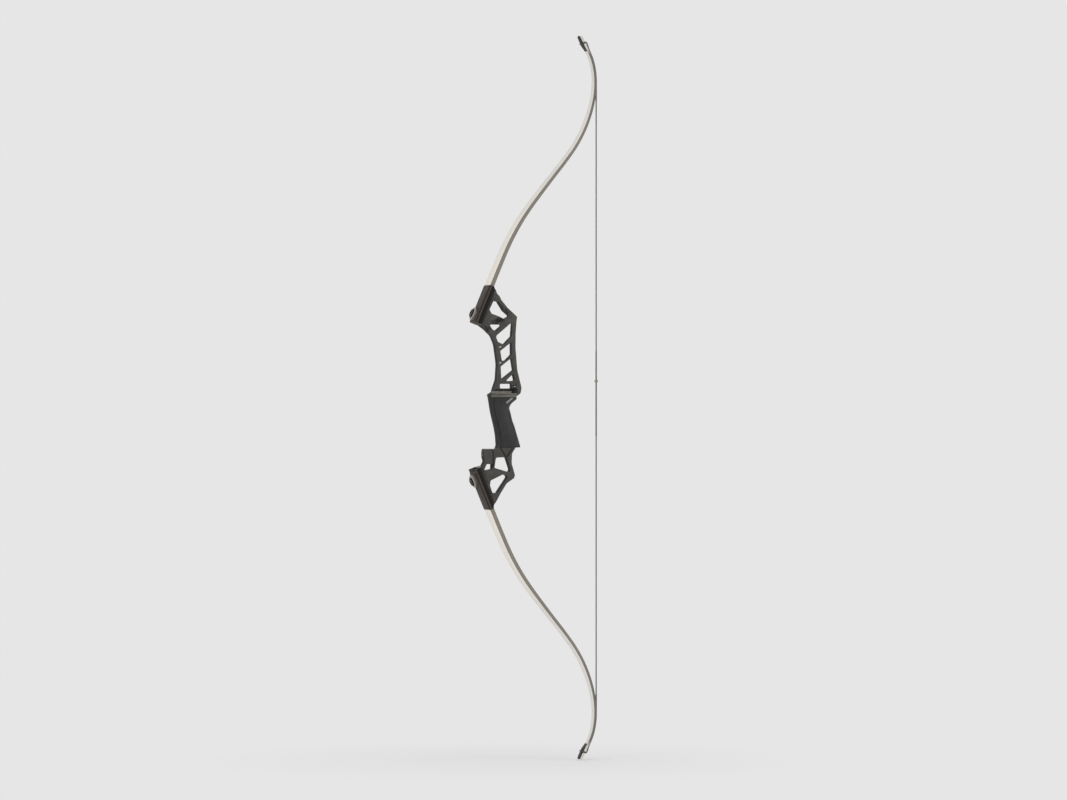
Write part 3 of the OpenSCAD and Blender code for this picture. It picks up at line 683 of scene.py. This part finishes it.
def overlayFront(s):
    # The overlay rises from a thin end and has a groove across it for the loop
    depth = -limb["overlayThick"] * min(1, 0.1 + max(0, s - limb["overlayRun"]) / limb["overlayRise"])
    radius, off = limb["grooveRadius"], abs(s - limb["nock"])
    if off < radius:
        depth = max(depth, -limb["overlayThick"] - limb["grooveOut"] + math.sqrt(radius ** 2 - off ** 2))
    return depth


def makeLimb(side):
    glass, outer, inner = limb["glass"], limb["outerRound"], limb["innerRound"]

    def coreBack(s):
        return limbThick(s) - glass

    layers = {  # name: (start, front, back, rounded corners, finish, node, record's slot)
        "LimbCore": (0, lambda s: glass, coreBack, (inner, inner), "limbCore", "limb_core", "limb_core"),
        "FrontGlass": (0, lambda s: 0, lambda s: glass, (outer, inner), "limbGlass", "front_glass",
                       "limb_glass"),
        "BellyGlass": (0, coreBack, limbThick, (inner, outer), "limbGlass", "belly_glass", "limb_glass"),
        "TipOverlay": (limb["overlayFrom"], overlayFront, lambda s: 0, (0.6, inner), "overlayLaminate",
                       "tip_overlay", "overlay")}
    for name, (fromS, front, back, rounds, finish, node, slotName) in layers.items():
        piece = limbLayer(side, name, fromS, front, back, rounds, finishes[finish])
        if finish == "limbGlass":  # the sanded sides show the layer's brown edge
            piece.data.materials.append(finishes["glassEdge"])
            for face in piece.data.polygons:
                if abs(face.normal.y) > 0.5:
                    face.material_index = 1
        if name == "TipOverlay":
            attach(piece, side + "_limb")
        else:
            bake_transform(piece)
        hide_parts(side + "_" + node)


for side in ("upper", "lower"):
    makeLimb(side)
print("limbs laid up")


# Riser and the pieces that are bolted or stuck to it

grip = {
    "bottom": -85.0, "top": 20.5, "barShows": 6.0, "power": 2.9, "arcSteps": 26, "levels": 88,
    "front": [(-88, -28.3), (-79, -26.3), (-61, -27.6), (-44, -30.4), (-15, -37.5), (1.5, -40.7), (20, -41.8),
              (31, -42.5)],
    "back": [(-85, 25), (-79, 23.3), (-61, 17.7), (-40, 11.3), (-28, 6.8), (-14, 3.5), (-7, 1.4), (-3, 0.6),
             (0, 0.8), (5.5, 3.8), (10.3, 8.6), (13.5, 13.2), (16.2, 15.8), (20, 17.3), (31, 18.5)],
    "half": [(-85, 12.8), (-61, 15.2), (-40, 15.5), (-14, 14), (0, 13.2), (16, 13.8), (31, 15)],
    "screws": [(-20, -8), (-4, -62)], "screwSeat": 11.6, "screwHole": 3.2, "outside": 30, "endRound": 1.6}

riserSizes = {"edge": 0.8, "cheekFrom": 24.4, "barFrom": -84.0, "barTo": 19.5, "barRun": 0.5,
              "frontTurn": -0.45, "shoulderTo": 33, "shoulderReach": -33, "shoulderTurn": -0.2,
              "webSide": 9.5, "flareFrom": 0.3, "flareTo": 0.92, "windowFrom": 0, "windowTo": 190,
              "shelfSide": -13.6, "shelfFrom": 20.4, "shelfTo": 29.4, "shelfTurn": -0.9}


def riserPart(face):
    # Which paint a face of the riser takes, by where it is and which way it looks, or None for the plain coat
    r, turn = riserSizes, face.normal
    x, y, z = face.center / mm
    onFlare = r["flareFrom"] < abs(turn.y) < r["flareTo"] and not r["windowFrom"] < z < r["windowTo"]
    onShoulder = r["barTo"] <= z < r["shoulderTo"] and x < r["shoulderReach"] and turn.x < r["shoulderTurn"]
    # the pocket cheek's outer side takes painted shade
    if abs(y) > r["cheekFrom"]:
        return "cheekSidePaintedShade"
    # sloping faces on the flare, chosen by which way they look, take painted shade
    if abs(y) > r["webSide"] and onFlare:
        return "flareSlopeShade"
    if r["barFrom"] < z < r["barTo"] and x < lookUp(grip["front"], z) + grip["barShows"] + r["barRun"]:
        return "barBlackAndPaintedShade"
    # faces looking forward, and the shoulder's faces looking up and forward, take the bar's black as painted
    # shade
    if turn.x < r["frontTurn"] or onShoulder:
        return "barBlackAndPaintedShade"
    if y < r["shelfSide"] and r["shelfFrom"] < z < r["shelfTo"] and turn.y < r["shelfTurn"]:
        return "shelfEdge"
    return None


def makeRiser():
    riser = cleanCopy("riserBody", "riser")
    # the bevelled edges take a paler finish: wear, and a painted highlight
    softEdges(riser, riserSizes["edge"], [finishes["riserMetal"], finishes["riserEdgeWearAndHighlight"]])
    paints = ("cheekSidePaintedShade", "flareSlopeShade", "barBlackAndPaintedShade", "shelfEdge")
    for paintName in paints:
        riser.data.materials.append(finishes[paintName])
    for face in riser.data.polygons:
        part = riserPart(face)
        if part:
            face.material_index = 2 + paints.index(part)
    standFor(riser, "riser", "riser_metal", "riser")


makeRiser()

smallPieces = {  # node: (piece, edge in millimetres, finish, finish of the edges, record's slot)
    "grip_screws": ("gripScrews", 0.2, "brightSteel", "brightSteel", "steel"),
    "shelf_pad": ("shelfPad", 0.7, "shelfFelt", "shelfFelt", "pad"),
    "arrow_rest": ("arrowRest", 0.35, "restPlastic", "restPlastic", "rest_plastic")}
for part, name, slotName in (("_limb_butt", "Butt", "limb_core"), ("_butt_cover", "Cover", "overlay")):
    for side in ("upper", "lower"):
        smallPieces[side + part] = (side + name, 0.4, "coverLaminate", "overlayLaminate", slotName)
for node, (name, edge, finish, edgeName, slotName) in smallPieces.items():
    piece = softEdges(cleanCopy(name, node), edge, [finishes[finish], finishes[edgeName]])
    standFor(piece, "riser", slotName, node)
for node in ("upper_limb_insert", "lower_limb_insert", "upper_locating_pin", "lower_locating_pin"):
    nodes[node].data.materials.clear()
    nodes[node].data.materials.append(finishes["brightSteel"])
print("riser and its small pieces finished")


# Grip: rounded sections up the handle, cut to the riser's bar

def smoothLookUp(table, z):
    # A curve through the table's points that keeps their slopes gentle
    k = max(0, min(len(table) - 2, sum(1 for p in table[1:-1] if p[0] <= z)))
    (za, a), (zb, b) = table[k], table[k + 1]
    before, after = table[max(k - 1, 0)], table[min(k + 2, len(table) - 1)]
    slopeA = (b - before[1]) / (zb - before[0])
    slopeB = (after[1] - a) / (after[0] - za)
    t, gap = (z - za) / (zb - za), zb - za
    return ((2 * t ** 3 - 3 * t ** 2 + 1) * a + (t ** 3 - 2 * t ** 2 + t) * gap * slopeA
            + (3 * t ** 2 - 2 * t ** 3) * b + (t ** 3 - t ** 2) * gap * slopeB)


def gripRing(z, inset):
    front = smoothLookUp(grip["front"], z) + grip["barShows"]
    depth = smoothLookUp(grip["back"], z) - front - inset
    half = smoothLookUp(grip["half"], z) - inset
    ring = []
    for k in range(-grip["arcSteps"], grip["arcSteps"] + 1):
        turn = math.pi / 2 * (1 - abs(k) / grip["arcSteps"])
        x = front + depth * math.sin(turn) ** (2 / grip["power"])
        y = half * math.cos(turn) ** (2 / grip["power"]) * (1 if k > 0 else -1)
        ring.append((x, 0 if k == 0 else y, z))
    return ring


def cutWith(obj, cutter):
    cut = obj.modifiers.new("cut", "BOOLEAN")
    cut.operation = "DIFFERENCE"
    cut.solver = "EXACT"
    cut.object = cutter
    bake(obj, 35)
    bpy.data.objects.remove(cutter)


def circleRing(centre, radius, axis, count=32):
    u = Vector(axis).orthogonal().normalized()
    v = Vector(axis).normalized().cross(u)
    return [Vector(centre) + radius * (math.cos(t) * u + math.sin(t) * v)
            for t in (2 * math.pi * k / count for k in range(count))]


def makeGrip():
    rings, r = [], grip["endRound"]
    for k in range(grip["levels"] + 1):
        z = grip["bottom"] + (grip["top"] - grip["bottom"]) * k / grip["levels"]
        near = min(z - grip["bottom"], grip["top"] - z)
        inset = r - math.sqrt(max(0, r * r - max(0, r - near) ** 2))
        rings.append(gripRing(z, inset))
    piece = ringMesh("gripBody", [{"rings": rings}], [finishes["gripPlastic"]], 35)
    cutWith(piece, cleanCopy("gripCutter", "riser"))
    holes, reach = [], (grip["screwSeat"], grip["outside"])
    for x, z in grip["screws"]:
        holes.append({"rings": [circleRing((x, y, z), grip["screwHole"], (0, 1, 0)) for y in reach]})
    cutWith(piece, ringMesh("screwCutter", holes, [finishes["gripPlastic"]]))
    standFor(piece, "riser", "grip", "grip")
    print("grip faces", len(piece.data.polygons))


makeGrip()


# Strands, servings and threads: one node tree that lays round strands on a path

def strandTree():
    tree = bpy.data.node_groups.new("strandsOnPath", "GeometryNodeTree")
    tree.interface.new_socket("Path", in_out="INPUT", socket_type="NodeSocketGeometry")
    for name, kind in (("Strands", "Int"), ("Strand radius", "Float"), ("Lay radius", "Float"),
                       ("Turn length", "Float"), ("Step", "Float"), ("Sides", "Int"), ("Finish", "Material")):
        tree.interface.new_socket(name, in_out="INPUT", socket_type="NodeSocket" + kind)
    tree.interface.new_socket("Strand mesh", in_out="OUTPUT", socket_type="NodeSocketGeometry")
    given = addNode(tree, "NodeGroupInput").outputs
    line = addNode(tree, "GeometryNodeMeshToCurve", {"Mesh": given["Path"]}).outputs[0]
    curve = addNode(tree, "GeometryNodeCurveSplineType", {"Curve": line}, spline_type="CATMULL_ROM")
    even = addNode(tree, "GeometryNodeResampleCurve",
                   {"Curve": curve.outputs[0], "Length": given["Step"]}, mode="LENGTH")
    copies = addNode(tree, "GeometryNodeDuplicateElements",
                     {"Geometry": even.outputs[0], "Amount": given["Strands"]}, domain="SPLINE")
    along = addNode(tree, "GeometryNodeSplineParameter").outputs["Length"]
    turns = math2(tree, "DIVIDE", along, given["Turn length"])
    start = math2(tree, "DIVIDE", copies.outputs["Duplicate Index"], given["Strands"])
    angle = math2(tree, "MULTIPLY", math2(tree, "ADD", turns, start), 2 * math.pi)
    normal = addNode(tree, "GeometryNodeInputNormal").outputs[0]
    tangent = addNode(tree, "GeometryNodeInputTangent").outputs[0]
    offsets = []
    for kind, direction in (("COSINE", normal), ("SINE", vectorMath(tree, "CROSS_PRODUCT", tangent, normal))):
        share = math2(tree, "MULTIPLY", math2(tree, kind, angle, 0), given["Lay radius"])
        offsets.append(scaled(tree, direction, share))
    offset = vectorMath(tree, "ADD", *offsets)
    moved = addNode(tree, "GeometryNodeSetPosition", {"Geometry": copies.outputs[0], "Offset": offset})
    ring = addNode(tree, "GeometryNodeCurvePrimitiveCircle",
                   {"Resolution": given["Sides"], "Radius": given["Strand radius"]})
    tube = addNode(tree, "GeometryNodeCurveToMesh",
                   {"Curve": moved.outputs[0], "Profile Curve": ring.outputs[0], "Fill Caps": True})
    smooth = addNode(tree, "GeometryNodeSetShadeSmooth", {"Geometry": tube.outputs[0], "Shade Smooth": True})
    real = addNode(tree, "GeometryNodeRealizeInstances", {"Geometry": smooth.outputs[0]})
    dressed = addNode(tree, "GeometryNodeSetMaterial",
                      {"Geometry": real.outputs[0], "Material": given["Finish"]})
    addNode(tree, "NodeGroupOutput", {0: dressed.outputs[0]})
    return tree


strandsOnPath = strandTree()


def strands(name, path, sizes, finish):
    data = bpy.data.meshes.new(name)
    data.from_pydata([Vector(p) * mm for p in path], [(k, k + 1) for k in range(len(path) - 1)], [])
    obj = addObject(name, data)
    modifier = obj.modifiers.new("strands", "NODES")
    modifier.node_group = strandsOnPath
    values = {"Strands": sizes["strands"], "Sides": sizes["sides"], "Finish": finish}
    for socket, key in (("Strand radius", "radius"), ("Lay radius", "lay"),
                        ("Turn length", "turn"), ("Step", "step")):
        values[socket] = sizes[key] * mm
    for item in strandsOnPath.interface.items_tree:
        if item.item_type == "SOCKET" and item.in_out == "INPUT" and item.name in values:
            modifier[item.identifier] = values[item.name]
    return bake(obj, 60)


contactHeight = limbPoint(limb["contact"], 0)[1]
string = {  # it lies on the limb's belly, with a gap and the served string's radius between
    "x": limbPoint(limb["contact"], limbThick(limb["contact"]))[0] + 0.3 + 1.7,
    "nockHeight": 48.0, "splitGap": 0.15, "turnFrom": 3.0, "turnTo": 34.0, "offBelly": 2.0,
    "serveBelow": 40.0, "servingAbove": 70.0, "servingBelow": 110.0,
    "twist": {"strands": 9, "radius": 0.35, "lay": 1.04, "turn": 36, "step": 2.4, "sides": 6},
    "heart": {"strands": 1, "radius": 0.8, "lay": 0, "turn": 50, "step": 20, "sides": 8},
    "winding": {"strands": 1, "radius": 0.36, "lay": 1.33, "turn": 0.7, "step": 0.06, "sides": 5},
    "underWinding": {"strands": 1, "radius": 1.42, "lay": 0, "turn": 50, "step": 2.0, "sides": 14},
    "loopWinding": {"strands": 1, "radius": 0.3, "lay": 1.09, "turn": 0.58, "step": 0.055, "sides": 5},
    "underLoop": {"strands": 1, "radius": 1.15, "lay": 0, "turn": 50, "step": 0.8, "sides": 12}}


def servedPiece(name, path, winding, under):
    thread = finishes["loopThread"] if winding == "loopWinding" else finishes["servingThread"]
    return merge(name, [strands(name + "Thread", path, string[winding], thread),
                        strands(name + "Under", path, string[under], finishes["threadShadow"])])


def endServingPath(side):
    low = contactHeight - string["serveBelow"]
    path = [(string["x"], low + string["serveBelow"] * k / 3) for k in range(3)]
    for k in range(11):
        s = limb["contact"] + (limb["throat"] - limb["contact"]) * k / 10
        path.append(limbPoint(s, limbThick(s) + string["offBelly"]))
    return [sided(side, x, 0, h) for x, h in path]


def loopPath(side):
    # From the throat up one side, round the tip's front in the nocks and down the other side
    lie, cross = limb["tipThick"] + limb["loopRadius"] + 0.5, -limb["overlayThick"] - 0.8
    sideOut = lookUp(limb["halfWidths"], limb["nock"]) + 0.7
    nock, thick = limb["nock"], limb["tipThick"]
    # Each point is the distance along the limb, the depth behind its front and the place across it
    leg = [(limb["throat"], lie, 1.5), (560, lie, 2.2), (565, lie, 4), (570, lie, 6.2), (574, lie, 7.9),
           (nock - 1.2, lie - 0.3, 8.9), (nock, thick + 0.4, sideOut + 0.4), (nock, -1, sideOut + 0.3),
           (nock, -limb["overlayThick"], sideOut - 0.1), (nock, cross + 0.1, sideOut - 1.4), (nock, cross, 4),
           (nock, cross, 1.4)]
    path = leg + [(s, depth, -y) for s, depth, y in reversed(leg)]
    return [sided(side, limbPoint(s, depth)[0], y, limbPoint(s, depth)[1]) for s, depth, y in path]


def makeString(side):
    up = string["nockHeight"] - limb["mirrorHeight"]
    if side == "upper":
        start, served = up + string["splitGap"], up + string["servingAbove"]
    else:
        start, served = string["splitGap"] - up, string["servingBelow"] - up
    end = contactHeight - string["serveBelow"]
    straight = [sided(side, string["x"], 0, start + (end - start) * k / 12) for k in range(13)]
    rope = merge(side + "StringStrands", [
        strands(side + "Twist", straight, string["twist"], finishes["stringFibre"]),
        strands(side + "Heart", straight, string["heart"], finishes["threadShadow"])])
    body = side + "_string"
    standFor(rope, body, "string", side + "_string")
    middle = [sided(side, string["x"], 0, start + (served - start) * k / 4) for k in range(5)]
    standFor(servedPiece(side + "CentreServing", middle, "winding", "underWinding"), body, "serving",
             side + "_centre_serving")
    path = endServingPath(side)
    for name, line, winding, under, node in (
            ("EndServing", path, "winding", "underWinding", "_end_serving"),
            ("StringLoop", loopPath(side), "loopWinding", "underLoop", "_string_loop")):
        piece = servedPiece(side + name, line, winding, under)
        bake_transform(piece)
        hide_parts(side + node)


for side in ("upper", "lower"):
    makeString(side)
print("string laid and served")


# Turned pieces: bolts, washers, bushings and the nock locator

def turned(matrix, profile, count, loop=True, wave=None):
    # profile is a list of (radius, height), and wave changes the radius by angle
    rings = []
    for radius, height in profile:
        ring = []
        for k in range(count):
            turn = 2 * math.pi * k / count
            r = radius if not wave else wave(radius, height, turn)
            ring.append(matrix @ Vector((r * math.cos(turn), r * math.sin(turn), height)))
        rings.append(ring)
    return {"rings": rings, "loop": loop}


def sameBothEnds(half, length):
    # The lower half of a turned profile, then the same from the top down
    return half + [(radius, length - height) for radius, height in reversed(half)]


def paleRimHighlight(obj, matrix, heights, radii, finish):
    # Faces between two heights and two radii take the paler finish, a painted highlight along the rim
    obj.data.materials.append(finish)
    for face in obj.data.polygons:
        local = matrix.inverted() @ (face.center / mm)
        if heights[0] < local.z < heights[1] and radii[0] < local.xy.length < radii[1]:
            face.material_index = 1


def threadPath(matrix, low, high):
    return [matrix @ Vector((0, 0, low + (high - low) * k / 6)) for k in range(7)]


def pocketFrame(side, s, depth):
    # Local Z points out of the pocket's front, local X runs along the pocket to its mouth; in millimetres
    lean = math.radians(limb["lean"])
    up = 1 if side == "upper" else -1
    along = Vector((math.sin(lean), 0, up * math.cos(lean)))
    outward = Vector((-math.cos(lean), 0, up * math.sin(lean)))
    mouth = Vector((-limb["mouthReach"], 0, limb["mirrorHeight"] + up * limb["mouthHeight"]))
    at = mouth + along * s - outward * depth
    across = outward.cross(along)
    return Matrix.Translation(at) @ Matrix((along, across, outward)).transposed().to_4x4()


boltSizes = {"setback": 67.0, "coverThick": 1.2, "washerThick": 7.0, "washerRadius": 14.0, "headRadius": 9.0,
             "headHeight": 3.5, "chamfer": 1.0, "shankRadius": 4.0, "threadRoot": 3.55, "shankLength": 34.2,
             "socketFlats": 6.0, "socketDepth": 3.0, "flutes": 20, "fluteDepth": 0.4,
             "thread": {"strands": 1, "radius": 0.42, "lay": 3.56, "turn": 1.25, "step": 0.055, "sides": 6}}


def makeBolt(side):
    b = boltSizes
    matrix = pocketFrame(side, -b["setback"], -b["coverThick"] - b["washerThick"])
    hexRadius, root, foot = b["socketFlats"] / 2, b["threadRoot"], -b["shankLength"]
    top, r, chamfer = b["headHeight"], b["headRadius"], b["chamfer"]

    def shaped(radius, height, turn):
        if radius < hexRadius * 1.3 and height > 0.5:  # the key socket's six flats
            local = (turn + math.pi / 6) % (math.pi / 3) - math.pi / 6
            return radius / math.cos(local)
        if 0.5 < height < top - chamfer + 0.1 and radius > r - 0.3:  # flutes round the rim
            return radius - b["fluteDepth"] * (0.5 - 0.5 * math.cos(b["flutes"] * turn)) ** 0.6
        return radius

    profile = [(3.0, foot), (root, foot + 0.8), (root, -0.05), (r - 1.0, 0), (r - 0.5, 0.15), (r - 0.25, 0.5),
               (r, 0.9), (r, top - chamfer - 0.3), (r - 0.1, top - chamfer + 0.12), (r - 0.55, top - 0.75),
               (r - chamfer, top - 0.08), (r - chamfer - 0.3, top), (6.4, top), (6.1, top - 0.25),
               (4.6, top - 0.3), (4.3, top - 0.35), (hexRadius + 0.25, top - 0.6), (hexRadius, top - 0.9),
               (hexRadius, top - b["socketDepth"]), (1.0, top - b["socketDepth"] - 0.4)]
    rings = turned(matrix, profile, 144, False, shaped)
    head = ringMesh(side + "BoltHead", [rings], [finishes["blackSteel"]], 28)
    paleRimHighlight(head, matrix, (top - chamfer, top - 0.03), (r - chamfer - 0.2, r + 1), finishes["boltRimHighlight"])
    threadLine = threadPath(matrix, foot + 0.8, -0.6)
    thread = strands(side + "BoltThread", threadLine, b["thread"], finishes["blackSteel"])
    standFor(merge(side + "LimbBolt", [head, thread]), side + "_bolt", "black_steel", side + "_limb_bolt")

    inner, outer, thick = b["shankRadius"] + 0.05, b["washerRadius"], b["washerThick"]
    matrix = pocketFrame(side, -b["setback"], -b["coverThick"])
    profile = [(inner, 0.3), (inner + 0.3, 0), (outer - 0.6, 0), (outer - 0.15, 0.15), (outer, 0.6),
               (outer, thick - 0.9), (outer - 0.2, thick - 0.4), (outer - 0.7, thick - 0.1),
               (outer - 1.1, thick - 0.03), (outer - 1.5, thick), (inner + 0.4, thick), (inner, thick - 0.4)]
    washer = ringMesh(side + "LimbWasher", [turned(matrix, profile, 96)], [finishes["washerPaint"]], 30)
    paleRimHighlight(washer, matrix, (thick - 1.0, thick + 1), (outer - 1.6, outer - 0.05), finishes["washerRimHighlight"])
    standFor(washer, side + "_washer", "steel", side + "_limb_washer")


for side in ("upper", "lower"):
    makeBolt(side)

alongY = Matrix.Rotation(math.radians(-90), 4, "X")
alongFront = Matrix.Rotation(math.radians(-90), 4, "Y")
bushings = {  # node: (piece, finish, record's slot, outer and inner radius, length, axis, places)
    "sight_bushings": ("sightBushings", "brightSteel", "steel", 3.2, 2.4, 16.0, alongY,
                       [(-17.5, 4, 93.53), (-17.5, 4, 126.87)]),
    "plunger_bushing": ("plungerBushing", "bushingPaint", "black_steel", 5.5, 3.97, 16.0, alongY,
                        [(14.5, 4, 44.5)]),
    "stabiliser_bushing": ("stabiliserBushing", "bushingPaint", "steel", 7.0, 3.97, 20.8, alongFront,
                           [(-37.5, 0, -97)])}
bushingThread = {"strands": 1, "radius": 0.3, "turn": 1.06, "step": 0.5, "sides": 5, "outside": 0.12}
for node, (name, finishName, slotName, outer, inner, length, axis, places) in bushings.items():
    groups, threads, finish = [], [], finishes[finishName]
    profile = sameBothEnds([(inner, 0.6), (inner + 0.5, 0), (outer - 0.3, 0), (outer, 0.3)], length)
    thread = {**bushingThread, "lay": inner + bushingThread["outside"]}
    for at in places:
        matrix = Matrix.Translation(at) @ axis
        groups.append(turned(matrix, profile, 64))
        line = threadPath(matrix, 0.8, length - 0.8)
        threads.append(strands(name + "Thread" + str(len(threads)), line, thread, finish))
    body = ringMesh(name + "Body", groups, [finish], 30)
    standFor(merge(name, [body] + threads), "riser", slotName, node)

locator = {"radius": 3.45, "inner": 1.7, "from": 52.0, "height": 5.0}
matrix = Matrix.Translation((string["x"], 0, locator["from"]))
inner, outer = locator["inner"], locator["radius"]
half = [(inner, 0.4), (inner + 0.4, 0), (outer - 0.7, 0), (outer - 0.2, 0.25), (outer, 0.8)]
profile = sameBothEnds(half, locator["height"])
ring = ringMesh("nockLocator", [turned(matrix, profile, 64)], [finishes["agedBrass"]], 30)
standFor(ring, "upper_string", "brass", "nock_locator")
print("bolts, washers, bushings and nock locator turned")


print("cad box", [round(c, 4) for corner in cadBox for c in corner])
